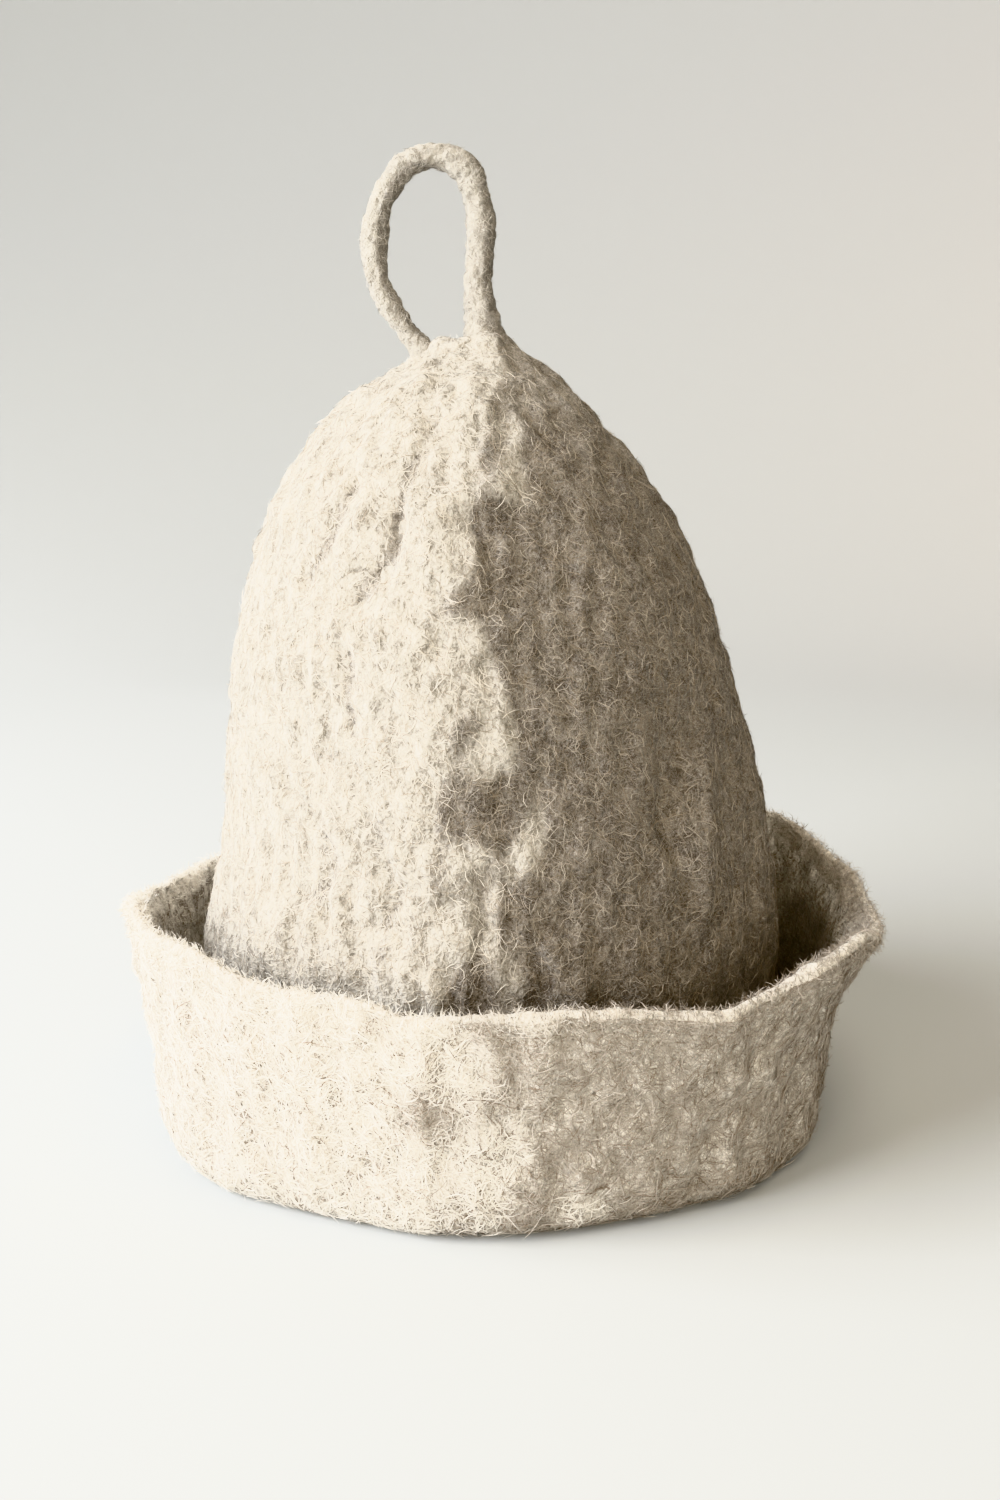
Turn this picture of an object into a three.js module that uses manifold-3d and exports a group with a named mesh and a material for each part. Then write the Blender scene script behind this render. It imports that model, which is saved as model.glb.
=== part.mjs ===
// A sauna hat of wet-felted wool: a tall crown whose lower edge is turned up into a brim,
// all one felt, and a hanging loop that is felted onto its top.
// Millimetres. +Z is up, the front faces -Y, and +X is on the right as seen from the front.
// A bearing is in degrees, counterclockwise seen from above: 0 is the right and -90 the front.

import * as THREE from 'three';
import { mergeVertices } from 'three/addons/utils/BufferGeometryUtils.js';
import Module from 'manifold-3d';

const wasm = await Module();
wasm.setup();

// Felt
const wall = 3;

// Crown: height from the floor, and width and depth over the felt at its foot
const crownHeight = 248;
const crownWidth = 194;
const crownDepth = 188;

// Turned-up brim: the clear trough between it and the crown's foot, its height,
// and its width and depth over the felt at the rim
const sideTrough = 15;
const frontTrough = 24;
const brimHeight = 68;
const rimWidth = 252;
const rimDepth = 246;

// Turns of the felt's middle under the trough: out from the crown's foot, and up into the brim.
// Each takes at most a share of the way from foot to brim, so that a level band stays between them.
const innerBend = 7;
const outerBend = 7;
const bendShare = 0.42;

// Height above the foot's turn over which the crown's folds rise to their full size
const foldsFade = 20;

// Hanging loop: width between the middles of its two legs, height of its middle above the crown,
// place of its middle beside the crown's axis, thickness of its cord, and its clearance to the felt
const loopWidth = 33.4;
const loopHeight = 54.6;
const loopOffset = -20;
const cordWidth = 8.5;
const seatGap = 0.3;

// Fineness of the facets
const columns = 72;
const crownSteps = 20;
const bendSteps = 3;
const brimSteps = 6;
const rimSteps = 3;
const loopSteps = 40;
const loopSides = 10;

// Crown's sections from apex to foot: height above the fold as a share of the crown's,
// width as a share of the crown's, and sideways lean as a share of its half width
const crownSections = [
  { height: 1.0, width: 0.0, lean: -0.08 },
  { height: 0.994, width: 0.12, lean: -0.071 },
  { height: 0.972, width: 0.196, lean: -0.062 },
  { height: 0.935, width: 0.343, lean: -0.085 },
  { height: 0.878, width: 0.485, lean: -0.095 },
  { height: 0.8, width: 0.625, lean: -0.084 },
  { height: 0.695, width: 0.747, lean: -0.055 },
  { height: 0.59, width: 0.823, lean: -0.037 },
  { height: 0.465, width: 0.883, lean: -0.009 },
  { height: 0.34, width: 0.942, lean: 0.011 },
  { height: 0.195, width: 0.996, lean: -0.003 },
  { height: 0.05, width: 1.0, lean: -0.019 },
  { height: 0.0, width: 0.998, lean: -0.022 },
];

// Brim's sections by bearing: its height, its reach where it leaves the floor and its reach at the rim
// as shares of their sizes, and how late it flares (1 is straight, more is hollow with a lip)
const brimSections = [
  { bearing: -165, height: 1.008, base: 0.978, rim: 0.961, flare: 1.2 },
  { bearing: -150, height: 1.031, base: 1.018, rim: 0.979, flare: 1.2 },
  { bearing: -135, height: 1.048, base: 1.045, rim: 0.99, flare: 1.2 },
  { bearing: -120, height: 0.997, base: 1.011, rim: 0.991, flare: 1.2 },
  { bearing: -108, height: 1.005, base: 0.999, rim: 0.99, flare: 1.2 },
  { bearing: -101, height: 0.959, base: 1.01, rim: 0.99, flare: 1.2 },
  { bearing: -88, height: 0.971, base: 0.999, rim: 0.998, flare: 1.2 },
  { bearing: -74, height: 0.974, base: 0.99, rim: 1.0, flare: 1.2 },
  { bearing: -65, height: 0.943, base: 0.996, rim: 1.008, flare: 1.3 },
  { bearing: -59, height: 0.913, base: 1.004, rim: 1.027, flare: 1.4 },
  { bearing: -52, height: 0.942, base: 1.027, rim: 1.017, flare: 1.6 },
  { bearing: -44, height: 0.999, base: 1.029, rim: 1.044, flare: 1.8 },
  { bearing: -34, height: 1.057, base: 1.023, rim: 1.062, flare: 2.4 },
  { bearing: -24, height: 0.981, base: 0.994, rim: 1.052, flare: 2.5 },
  { bearing: -14, height: 0.986, base: 0.985, rim: 1.01, flare: 3.2 },
  { bearing: -4, height: 1.017, base: 0.987, rim: 0.985, flare: 3.2 },
  { bearing: 10, height: 1.028, base: 1.0, rim: 0.975, flare: 2.4 },
  { bearing: 30, height: 1.082, base: 1.0, rim: 0.983, flare: 1.6 },
  { bearing: 60, height: 1.065, base: 1.0, rim: 0.99, flare: 1.3 },
  { bearing: 90, height: 0.99, base: 1.0, rim: 0.99, flare: 1.2 },
  { bearing: 120, height: 0.923, base: 1.0, rim: 0.99, flare: 1.2 },
  { bearing: 150, height: 0.834, base: 1.0, rim: 0.967, flare: 1.2 },
  { bearing: 172, height: 0.842, base: 0.99, rim: 0.981, flare: 1.2 },
];

// Soft ridges and creases of the crown: bearing and height of the middle, slant from upright in degrees
// (clockwise seen from outside), length as a share of the crown's height, breadth as a share of
// its half width, and rise as a share of its half width, below zero for a crease
const folds = [
  { bearing: -97, height: 0.46, slant: -3, length: 0.36, breadth: 0.2, rise: 0.026 },
  { bearing: -91, height: 0.34, slant: 2, length: 0.13, breadth: 0.06, rise: -0.034 },
  { bearing: -98, height: 0.345, slant: 40, length: 0.05, breadth: 0.05, rise: -0.02 },
  { bearing: -80, height: 0.32, slant: -18, length: 0.1, breadth: 0.07, rise: 0.02 },
  { bearing: -77, height: 0.72, slant: 0, length: 0.07, breadth: 0.16, rise: -0.03 },
  { bearing: -83, height: 0.655, slant: 82, length: 0.07, breadth: 0.06, rise: 0.016 },
  { bearing: -98.5, height: 0.642, slant: 15, length: 0.03, breadth: 0.07, rise: -0.024 },
  { bearing: -109, height: 0.77, slant: 24, length: 0.09, breadth: 0.07, rise: -0.024 },
  { bearing: -97, height: 0.75, slant: 24, length: 0.12, breadth: 0.09, rise: 0.026 },
  { bearing: -50, height: 0.45, slant: 12, length: 0.1, breadth: 0.07, rise: -0.028 },
  { bearing: -43, height: 0.4, slant: 4, length: 0.1, breadth: 0.08, rise: 0.018 },
  { bearing: -85, height: 0.92, slant: 6, length: 0.07, breadth: 0.09, rise: 0.022 },
  { bearing: -120, height: 0.93, slant: 14, length: 0.05, breadth: 0.09, rise: 0.016 },
  { bearing: -14, height: 0.44, slant: 0, length: 0.06, breadth: 0.16, rise: 0.012 },
  { bearing: -130, height: 0.52, slant: 20, length: 0.14, breadth: 0.14, rise: -0.014 },
  { bearing: 40, height: 0.5, slant: -14, length: 0.2, breadth: 0.16, rise: -0.018 },
  { bearing: 84, height: 0.4, slant: 4, length: 0.3, breadth: 0.2, rise: 0.022 },
  { bearing: 118, height: 0.6, slant: 18, length: 0.14, breadth: 0.14, rise: -0.02 },
  { bearing: 160, height: 0.36, slant: -8, length: 0.16, breadth: 0.16, rise: 0.014 },
];

// Loop's cord from its left root to its right: sideways place as a share of half the loop's width,
// height above the crown's top as a share of the loop's, and thickness as a share of the cord's.
// The first and last rows lie inside the crown.
const loopSections = [
  { across: 0.18, up: -0.22, thick: 1.05 },
  { across: -0.09, up: -0.075, thick: 0.95 },
  { across: -0.45, up: 0.06, thick: 0.78 },
  { across: -0.9, up: 0.28, thick: 0.83 },
  { across: -1.0, up: 0.52, thick: 0.97 },
  { across: -0.87, up: 0.76, thick: 0.92 },
  { across: -0.42, up: 0.945, thick: 0.9 },
  { across: 0.14, up: 1.0, thick: 0.94 },
  { across: 0.72, up: 0.935, thick: 1.03 },
  { across: 0.95, up: 0.76, thick: 1.04 },
  { across: 1.0, up: 0.56, thick: 1.05 },
  { across: 0.955, up: 0.34, thick: 1.02 },
  { across: 1.0, up: 0.12, thick: 1.28 },
  { across: 1.05, up: -0.03, thick: 1.6 },
  { across: 1.06, up: -0.2, thick: 1.8 },
];

const radians = THREE.MathUtils.degToRad;
const fullTurn = 360;
const up = new THREE.Vector3(0, 0, 1);

// A cubic through each value at its knot, whose slope there is that of its two neighbours
function curve(knots, values) {
  const slopes = values.map((_, i) => {
    const before = Math.max(i - 1, 0);
    const after = Math.min(i + 1, values.length - 1);
    return (values[after] - values[before]) / (knots[after] - knots[before]);
  });
  return (at) => {
    const next = knots.findIndex((knot, i) => i > 0 && at <= knot);
    const i = next < 0 ? knots.length - 2 : next - 1;
    const step = knots[i + 1] - knots[i];
    const t = (at - knots[i]) / step;
    const rest = 1 - t;
    const ends = values[i] * (1 + 2 * t) * rest ** 2 + values[i + 1] * (3 - 2 * t) * t ** 2;
    return ends + step * (slopes[i] * t * rest ** 2 - slopes[i + 1] * t ** 2 * rest);
  };
}

// One curve for each column of a table
function curvesOf(rows, knots) {
  const names = Object.keys(rows[0]);
  return Object.fromEntries(names.map((name) => [name, curve(knots, rows.map((row) => row[name]))]));
}

const crownCurves = curvesOf(crownSections, [...crownSections.keys()]);
const loopCurves = curvesOf(loopSections, [...loopSections.keys()]);
const aroundTwice = [-fullTurn, 0, fullTurn].flatMap((shift) =>
  brimSections.map((row) => ({ ...row, bearing: row.bearing + shift })),
);
const brimCurves = curvesOf(aroundTwice, aroundTwice.map((row) => row.bearing));

// Whole numbers from 0 to count, as shares of the count
function shares(count) {
  return Array.from({ length: count + 1 }, (_, i) => i / count);
}

const bearings = shares(columns).slice(0, -1).map((share) => (share - 0.5) * fullTurn);
const crownEnd = crownSections.length - 1;
const baseWidth = crownWidth + 2 * (sideTrough + wall);
const baseDepth = crownDepth + 2 * (frontTrough + wall);

// The point of an oval of this width and depth over the felt, taken in to the felt's middle
function onOval(bearing, width, depth, reach) {
  const angle = radians(bearing);
  const x = ((width - wall) / 2) * Math.cos(angle) * reach;
  const y = ((depth - wall) / 2) * Math.sin(angle) * reach;
  return new THREE.Vector2(x, y);
}

// The crown's section in plan at a share of the way from apex to foot
function crownPlan(bearing, share) {
  const row = share * crownEnd;
  const point = onOval(bearing, crownWidth, crownDepth, crownCurves.width(row));
  point.x += ((crownWidth - wall) / 2) * crownCurves.lean(row);
  return point;
}

// The felt's middle at one bearing, from the apex down the crown, out under the trough and up the brim
function section(bearing) {
  const foot = crownPlan(bearing, 1);
  const base = onOval(bearing, baseWidth, baseDepth, brimCurves.base(bearing));
  const rim = onOval(bearing, rimWidth, rimDepth, brimCurves.rim(bearing));
  const gap = foot.distanceTo(base);
  const outward = base.clone().sub(foot).normalize();
  const inner = Math.min(innerBend, gap * bendShare);
  const outer = Math.min(outerBend, gap * bendShare);
  const floor = wall / 2;
  const fold = floor + inner;
  const top = crownHeight - wall / 2;

  const crown = shares(crownSteps).map((share) => {
    const plan = crownPlan(bearing, share);
    const height = crownCurves.height(share * crownEnd);
    return new THREE.Vector3(plan.x, plan.y, fold + height * (top - fold));
  });
  const under = (out, height) => {
    const plan = foot.clone().addScaledVector(outward, out);
    return new THREE.Vector3(plan.x, plan.y, height);
  };
  const turns = shares(bendSteps).map((share) => (share * Math.PI) / 2);
  const turnOut = turns.slice(1).map((turn) =>
    under(inner * (1 - Math.cos(turn)), fold - inner * Math.sin(turn)),
  );
  const turnUp = turns.map((turn) =>
    under(gap - outer * (1 - Math.sin(turn)), floor + outer * (1 - Math.cos(turn))),
  );
  const low = floor + outer;
  const brim = shares(brimSteps).slice(1).map((share) => {
    const plan = base.clone().lerp(rim, share ** brimCurves.flare(bearing));
    const height = low + (brimHeight * brimCurves.height(bearing) - low) * share;
    return new THREE.Vector3(plan.x, plan.y, height);
  });
  return [...crown, ...turnOut, ...turnUp, ...brim];
}

// Rings whose two neighbours in the level band under the trough lie on the floor
const levelRings = [crownSteps + bendSteps, crownSteps + bendSteps + 1];

// Unit normals of the rings, on the crown's outer side. The felt is level at the apex and under the trough.
function normalsOf(rings) {
  const last = rings.length - 1;
  return rings.map((ring, i) => ring.map((_, j) => {
    if (i === 0 || levelRings.includes(i)) {
      return up.clone();
    }
    const before = rings[Math.max(i - 1, 0)];
    const after = rings[Math.min(i + 1, last)];
    const down = after[j].clone().sub(before[j]);
    const along = ring[(j + 1) % columns].clone().sub(ring[(j + columns - 1) % columns]);
    return down.cross(along).normalize();
  }));
}

// How far the folds push the crown out at a point of its plain form
function pushAt(point, bearing) {
  const half = crownWidth / 2;
  const low = wall + innerBend;
  const fade = THREE.MathUtils.smoothstep(point.z, low, low + foldsFade);
  const around = Math.hypot(point.x, point.y);
  const pushes = folds.map((row) => {
    const turned = THREE.MathUtils.euclideanModulo(bearing - row.bearing + fullTurn / 2, fullTurn);
    const across = radians(turned - fullTurn / 2) * around;
    const above = point.z - row.height * crownHeight;
    const slant = radians(row.slant);
    const along = above * Math.cos(slant) + across * Math.sin(slant);
    const beside = across * Math.cos(slant) - above * Math.sin(slant);
    const squares = (along / (row.length * crownHeight)) ** 2 + (beside / (row.breadth * half)) ** 2;
    return row.rise * half * Math.exp(-squares);
  });
  return fade * pushes.reduce((sum, push) => sum + push, 0);
}

// The rings of the felt's middle with its folds
function feltRings() {
  const sections = bearings.map(section);
  const plain = sections[0].map((_, i) => sections.map((points) => points[i]));
  const normals = normalsOf(plain);
  return plain.map((ring, i) => ring.map((point, j) => {
    const push = i > 0 && i <= crownSteps ? pushAt(point, bearings[j]) : 0;
    return point.clone().addScaledVector(normals[i][j], push);
  }));
}

// The rings moved along their normals
function offset(rings, normals, distance) {
  return rings.map((ring, i) => ring.map((point, j) =>
    point.clone().addScaledVector(normals[i][j], distance),
  ));
}

// The round edge of the rim, from the felt's trough side over to its outer side
function rimRings(rings, normals) {
  const last = rings.length - 1;
  return shares(rimSteps).slice(1, -1).map((share) => rings[last].map((point, j) => {
    const onward = point.clone().sub(rings[last - 1][j]).normalize();
    const turn = share * Math.PI;
    return point.clone()
      .addScaledVector(normals[last][j], (Math.cos(turn) * wall) / 2)
      .addScaledVector(onward, (Math.sin(turn) * wall) / 2);
  }));
}

// A closed surface through rings of points, whose first and last are single points
function skin(rings) {
  const points = [];
  for (let i = 0; i + 1 < rings.length; i += 1) {
    const [first, second] = [rings[i], rings[i + 1]];
    const count = Math.max(first.length, second.length);
    for (let j = 0; j < count; j += 1) {
      const a = first[j % first.length];
      const b = first[(j + 1) % first.length];
      const c = second[j % second.length];
      const d = second[(j + 1) % second.length];
      if (first.length > 1) {
        points.push(a, c, b);
      }
      if (second.length > 1) {
        points.push(b, c, d);
      }
    }
  }
  return mergeVertices(new THREE.BufferGeometry().setFromPoints(points));
}

function solidOf(geometry) {
  return new wasm.Manifold(new wasm.Mesh({
    numProp: 3,
    vertProperties: geometry.getAttribute('position').array,
    triVerts: Uint32Array.from(geometry.getIndex().array),
  }));
}

function geometryOf(solid) {
  const mesh = solid.getMesh();
  const geometry = new THREE.BufferGeometry();
  geometry.setAttribute('position', new THREE.BufferAttribute(mesh.vertProperties, mesh.numProp));
  geometry.setIndex(new THREE.BufferAttribute(mesh.triVerts, 1));
  return geometry;
}

const middle = feltRings();
const middleNormals = normalsOf(middle);

// Crown and brim: the felt's two sides, joined over the rim
function crownAndBrim() {
  const outside = offset(middle, middleNormals, wall / 2);
  const inside = offset(middle, middleNormals, -wall / 2).reverse();
  const rim = rimRings(middle, middleNormals);
  const apexOutside = [outside[0][0]];
  const apexInside = [inside[inside.length - 1][0]];
  return skin([apexOutside, ...outside.slice(1), ...rim, ...inside.slice(0, -1), apexInside]);
}

// All that lies inside the crown's outer face, swelled by the loop's clearance
function crownFilled() {
  const clear = offset(middle, middleNormals, wall / 2 + seatGap).slice(0, crownSteps + 1);
  const bottom = new THREE.Vector3(0, 0, clear[crownSteps][0].z);
  return skin([[clear[0][0]], ...clear.slice(1), [bottom]]);
}

// Hanging loop: a cord of changing thickness, cut off where it meets the crown
function hangingLoop() {
  const rows = shares(loopSteps).map((share) => share * (loopSections.length - 1));
  const places = rows.map((row) => new THREE.Vector3(
    loopOffset + (loopWidth / 2) * loopCurves.across(row),
    0,
    crownHeight + loopHeight * loopCurves.up(row),
  ));
  const front = new THREE.Vector3(0, 1, 0);
  const rings = places.map((place, i) => {
    const onward = places[Math.min(i + 1, loopSteps)].clone().sub(places[Math.max(i - 1, 0)]).normalize();
    const aside = front.clone().cross(onward).negate();
    const radius = (cordWidth / 2) * loopCurves.thick(rows[i]);
    return shares(loopSides).slice(0, -1).map((share) => {
      const turn = share * 2 * Math.PI;
      return place.clone()
        .addScaledVector(aside, radius * Math.cos(turn))
        .addScaledVector(front, radius * Math.sin(turn));
    });
  });
  const cord = skin([[places[0]], ...rings, [places[loopSteps]]]);
  return geometryOf(solidOf(cord).subtract(solidOf(crownFilled())));
}

const crownFelt = new THREE.MeshStandardMaterial({ color: 0xb5a894, roughness: 0.96, metalness: 0 });
const loopFelt = new THREE.MeshStandardMaterial({ color: 0xb0a592, roughness: 0.96, metalness: 0 });

function named(name, geometry, material) {
  const mesh = new THREE.Mesh(geometry, material);
  mesh.name = name;
  return mesh;
}

const pieces = new THREE.Group();
pieces.add(named('crown_and_brim', crownAndBrim(), crownFelt));
pieces.add(named('hanging_loop', hangingLoop(), loopFelt));

// The hat stands with the middle of its bounding box over the origin
const box = new THREE.Box3().setFromObject(pieces);
const centre = box.getCenter(new THREE.Vector3());
pieces.position.set(-centre.x, -centre.y, -box.min.z);

const hat = new THREE.Group();
hat.add(pieces);

export default hat;
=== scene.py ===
import math

import bpy
import numpy as np
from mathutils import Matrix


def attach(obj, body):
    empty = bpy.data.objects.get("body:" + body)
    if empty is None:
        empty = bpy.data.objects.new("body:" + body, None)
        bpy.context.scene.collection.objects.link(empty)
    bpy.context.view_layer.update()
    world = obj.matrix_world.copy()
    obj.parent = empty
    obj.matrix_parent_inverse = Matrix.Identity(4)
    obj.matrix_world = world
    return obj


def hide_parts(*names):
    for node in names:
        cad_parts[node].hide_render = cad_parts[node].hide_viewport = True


# A sauna hat of wet-felted wool: one felt for crown and turned-up brim, a felted hanging loop on top,
# and the wool hairs that stand out of them.
# Lengths are in millimetres until a mesh is made. +Z is up, the front faces -Y and +X is on the right.
# A bearing is in degrees, counterclockwise seen from above: 0 is the right and -90 the front.

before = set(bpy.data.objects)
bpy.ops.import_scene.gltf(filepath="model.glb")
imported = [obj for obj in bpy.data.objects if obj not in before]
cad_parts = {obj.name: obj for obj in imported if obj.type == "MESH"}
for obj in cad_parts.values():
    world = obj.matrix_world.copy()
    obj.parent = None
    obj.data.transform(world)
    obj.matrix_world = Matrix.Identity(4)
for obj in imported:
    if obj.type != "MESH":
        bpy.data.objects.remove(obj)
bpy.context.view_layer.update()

MILLIMETRE = 0.001
FULL_TURN = 360.0
HALF_TURN = FULL_TURN / 2

# Felt, how much thicker each side of it is at the rim, and the share of the way up the brim where that begins
WALL = 3.0
RIM_BEAD = 0.3
BEAD_FROM = 0.90

# Crown: height from the floor, and width and depth over the felt at its foot
CROWN_HEIGHT = 248.0
CROWN_WIDTH = 194.0
CROWN_DEPTH = 188.0

# Turned-up brim: the clear trough between it and the crown's foot, its height and its width and depth at the rim
SIDE_TROUGH = 15.0
FRONT_TROUGH = 24.0
BRIM_HEIGHT = 68.0
RIM_WIDTH = 252.0
RIM_DEPTH = 246.0
BASE_WIDTH = CROWN_WIDTH + 2 * (SIDE_TROUGH + WALL)
BASE_DEPTH = CROWN_DEPTH + 2 * (FRONT_TROUGH + WALL)

# Turns of the felt's middle under the trough, and the height over which the folds fade in above them
INNER_BEND = 7.0
OUTER_BEND = 7.0
BEND_SHARE = 0.42
FOLDS_FADE = 20.0

# Hanging loop: its size, how far the cord sways to the front and back, and how its roots lie on the crown
LOOP_WIDTH = 33.4
LOOP_HEIGHT = 54.6
LOOP_OFFSET = -20.0
CORD_WIDTH = 8.5
CORD_SWAY = 0.4
CORD_SWAY_PACE = 0.9
ROOTS_BELOW = 4.0
ROOTS_DEPTH = 0.6

# From the felt's own axis to the part's, which is the middle of its box
SHIFT = np.array([-0.366, 0.429, 0.0])

# Crown's sections from apex to foot: height above the fold as a share of the crown's,
# width as a share of the crown's, and sideways lean as a share of its half width
CROWN_SECTIONS = np.array([
    [1.000, 0.000, -0.080],
    [0.994, 0.120, -0.071],
    [0.972, 0.196, -0.062],
    [0.935, 0.343, -0.085],
    [0.878, 0.485, -0.095],
    [0.800, 0.625, -0.084],
    [0.695, 0.747, -0.055],
    [0.590, 0.823, -0.037],
    [0.465, 0.883, -0.009],
    [0.340, 0.942, 0.011],
    [0.195, 0.996, -0.003],
    [0.050, 1.000, -0.019],
    [0.000, 0.998, -0.022],
])

# Brim's sections: bearing, then its height, its reach at the floor and its reach at the rim as shares
# of their sizes, and how late it flares
BRIM_SECTIONS = np.array([
    [-165, 1.008, 0.978, 0.961, 1.2],
    [-150, 1.031, 1.018, 0.979, 1.2],
    [-135, 1.048, 1.045, 0.990, 1.2],
    [-120, 0.997, 1.011, 0.991, 1.2],
    [-108, 1.005, 0.999, 0.990, 1.2],
    [-101, 0.959, 1.010, 0.990, 1.2],
    [-88, 0.971, 0.999, 0.998, 1.2],
    [-74, 0.974, 0.990, 1.000, 1.2],
    [-65, 0.943, 0.996, 1.008, 1.3],
    [-59, 0.913, 1.004, 1.027, 1.4],
    [-52, 0.942, 1.027, 1.017, 1.6],
    [-44, 0.999, 1.029, 1.044, 1.8],
    [-34, 1.057, 1.023, 1.062, 2.4],
    [-24, 0.981, 0.994, 1.052, 2.5],
    [-14, 0.986, 0.985, 1.010, 3.2],
    [-4, 1.017, 0.987, 0.985, 3.2],
    [10, 1.028, 1.000, 0.975, 2.4],
    [30, 1.082, 1.000, 0.983, 1.6],
    [60, 1.065, 1.000, 0.990, 1.3],
    [90, 0.990, 1.000, 0.990, 1.2],
    [120, 0.923, 1.000, 0.990, 1.2],
    [150, 0.834, 1.000, 0.967, 1.2],
    [172, 0.842, 0.990, 0.981, 1.2],
])

# Soft ridges and hollows of the crown: bearing, height as a share of the crown's, slant from upright,
# length as a share of the crown's height, breadth as a share of its half width,
# and rise as a share of its half width, below zero for a hollow
FOLDS = np.array([
    [-98, 0.44, -3, 0.34, 0.16, 0.034],
    [-90, 0.36, 6, 0.10, 0.06, -0.006],
    [-98, 0.345, 40, 0.05, 0.05, -0.008],
    [-80, 0.32, -18, 0.10, 0.06, 0.014],
    [-77, 0.72, 0, 0.08, 0.16, -0.010],
    [-83, 0.655, 82, 0.06, 0.05, 0.008],
    [-98.5, 0.642, 15, 0.03, 0.06, -0.010],
    [-109, 0.77, 24, 0.09, 0.06, -0.012],
    [-97, 0.75, 24, 0.12, 0.10, 0.012],
    [-50, 0.45, 12, 0.10, 0.06, -0.024],
    [-43, 0.40, 4, 0.10, 0.08, 0.018],
    [-85, 0.92, 6, 0.07, 0.10, 0.014],
    [-120, 0.93, 14, 0.05, 0.09, 0.010],
    [-14, 0.44, 0, 0.06, 0.16, 0.012],
    [-130, 0.52, 20, 0.14, 0.14, -0.014],
    [40, 0.50, -14, 0.20, 0.16, -0.018],
    [84, 0.40, 4, 0.30, 0.20, 0.022],
    [118, 0.60, 18, 0.14, 0.14, -0.020],
    [160, 0.36, -8, 0.16, 0.16, 0.014],
])

# Fine creases and ridges: breadth and rise in millimetres, and the (bearing, height) points they run through
CREASES = [
    (2.6, -1.1, [(-88, 127), (-90, 113), (-93, 100), (-93, 76), (-92, 58)]),
    (2.2, 0.9, [(-86, 108), (-88, 92), (-88.5, 70)]),
    (2.4, -1.0, [(-93, 100), (-97, 90), (-101.5, 81)]),
    (2.4, -0.9, [(-90, 98), (-84, 84), (-82, 66)]),
    (2.2, -0.7, [(-84, 92), (-77, 78), (-75, 64)]),
    (1.8, 1.2, [(-97, 161), (-91, 165), (-82, 165), (-75, 167)]),
    (3.0, -1.1, [(-84, 172), (-77, 174), (-69, 174)]),
    (2.6, -1.2, [(-97.4, 163), (-99.6, 156)]),
    (2.8, -1.8, [(-105, 209), (-105, 198), (-109, 188), (-114, 181), (-115, 173)]),
    (4.6, 1.4, [(-84, 206), (-93.5, 195), (-100, 183), (-104, 162)]),
    (2.6, -0.9, [(-98, 182), (-101, 172), (-100, 165)]),
    (2.4, 0.8, [(-88, 190), (-95, 180), (-98, 172)]),
    (2.8, -2.2, [(-42, 132), (-49, 122), (-53.5, 114), (-53.4, 105), (-51, 93)]),
    (3.4, 1.8, [(-42.5, 122), (-45, 100), (-49, 80)]),
    (5.0, 1.2, [(-68, 246), (-84, 229), (-86, 218)]),
    (4.6, 0.8, [(-128, 241), (-115.5, 223)]),
    (7.0, 0.9, [(-88, 201), (-93, 174), (-99, 146), (-102, 118), (-102, 90), (-101, 61)]),
    (4.0, 0.8, [(-131, 146), (-130, 139)]),
    (4.0, 0.7, [(-119, 170), (-120, 163)]),
    (4.0, 0.8, [(-143, 113), (-142, 106)]),
    (3.2, 0.8, [(-106, 175), (-108, 168)]),
    (3.0, -1.3, [(-117, 158), (-119, 146), (-116, 136)]),
    (3.4, 1.1, [(-112, 150), (-114, 136), (-112, 120)]),
    (2.8, -1.2, [(-127, 108), (-124, 96), (-126, 84)]),
    (3.2, 1.1, [(-113, 96), (-116, 82), (-115, 70)]),
    (3.0, -1.1, [(-110, 112), (-107, 98), (-109, 86)]),
    (3.2, -1.1, [(-122, 205), (-128, 190), (-130, 178)]),
    (3.6, -1.2, [(24, 150), (20, 132), (23, 112)]),
    (3.4, 1.0, [(62, 170), (70, 160), (82, 158)]),
    (3.8, -1.3, [(96, 128), (93, 106), (95, 84)]),
    (3.4, -1.1, [(140, 180), (146, 164), (144, 148)]),
    (3.6, 1.0, [(168, 120), (172, 96)]),
]

# Loop's cord from its left root to its right: sideways place as a share of half the loop's width,
# height above the crown's top as a share of the loop's, and thickness as a share of the cord's
LOOP_SECTIONS = np.array([
    [0.18, -0.22, 1.05],
    [-0.09, -0.075, 0.95],
    [-0.45, 0.06, 0.78],
    [-0.90, 0.28, 0.83],
    [-1.00, 0.52, 0.97],
    [-0.87, 0.76, 0.92],
    [-0.42, 0.945, 0.90],
    [0.14, 1.00, 0.94],
    [0.72, 0.935, 1.03],
    [0.95, 0.76, 1.04],
    [1.00, 0.56, 1.05],
    [0.955, 0.34, 1.02],
    [1.00, 0.12, 1.28],
    [1.05, -0.03, 1.60],
    [1.06, -0.20, 1.80],
])

# Random fields, each with its size in millimetres, its wavelength in millimetres and its seed.
# The first wander and the sides of the browner wool with its painted shade have their size in degrees.
BEARINGS_WANDER = (1.7, 30, 31)
HEIGHTS_WANDER = (2.2, 24, 32)
LARGE_PEBBLES = (0.42, 15, 3)
SMALL_PEBBLES = (0.46, 8, 4)
SLOW_SWELLS = (0.35, 40, 5)
FOOT_RIPPLES = (0.42, 9, 6)
BRIM_PLEATS = (0.42, 15, 7)
RIM_ROUGHNESS = (0.2, 6, 8)
LONG_RIM_WAVES = (0.4, 34, 18)
SHORT_RIM_WAVES = (0.2, 12, 19)
UMBER_AND_SHADE_SIDES_WANDER = (7, 24, 9)
UMBER_AND_SHADE_TOP_WANDER = (12, 30, 10)
LARGE_CORD_LUMPS = (0.34, 7, 21)
SMALL_CORD_LUMPS = (0.2, 3.6, 22)
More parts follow.
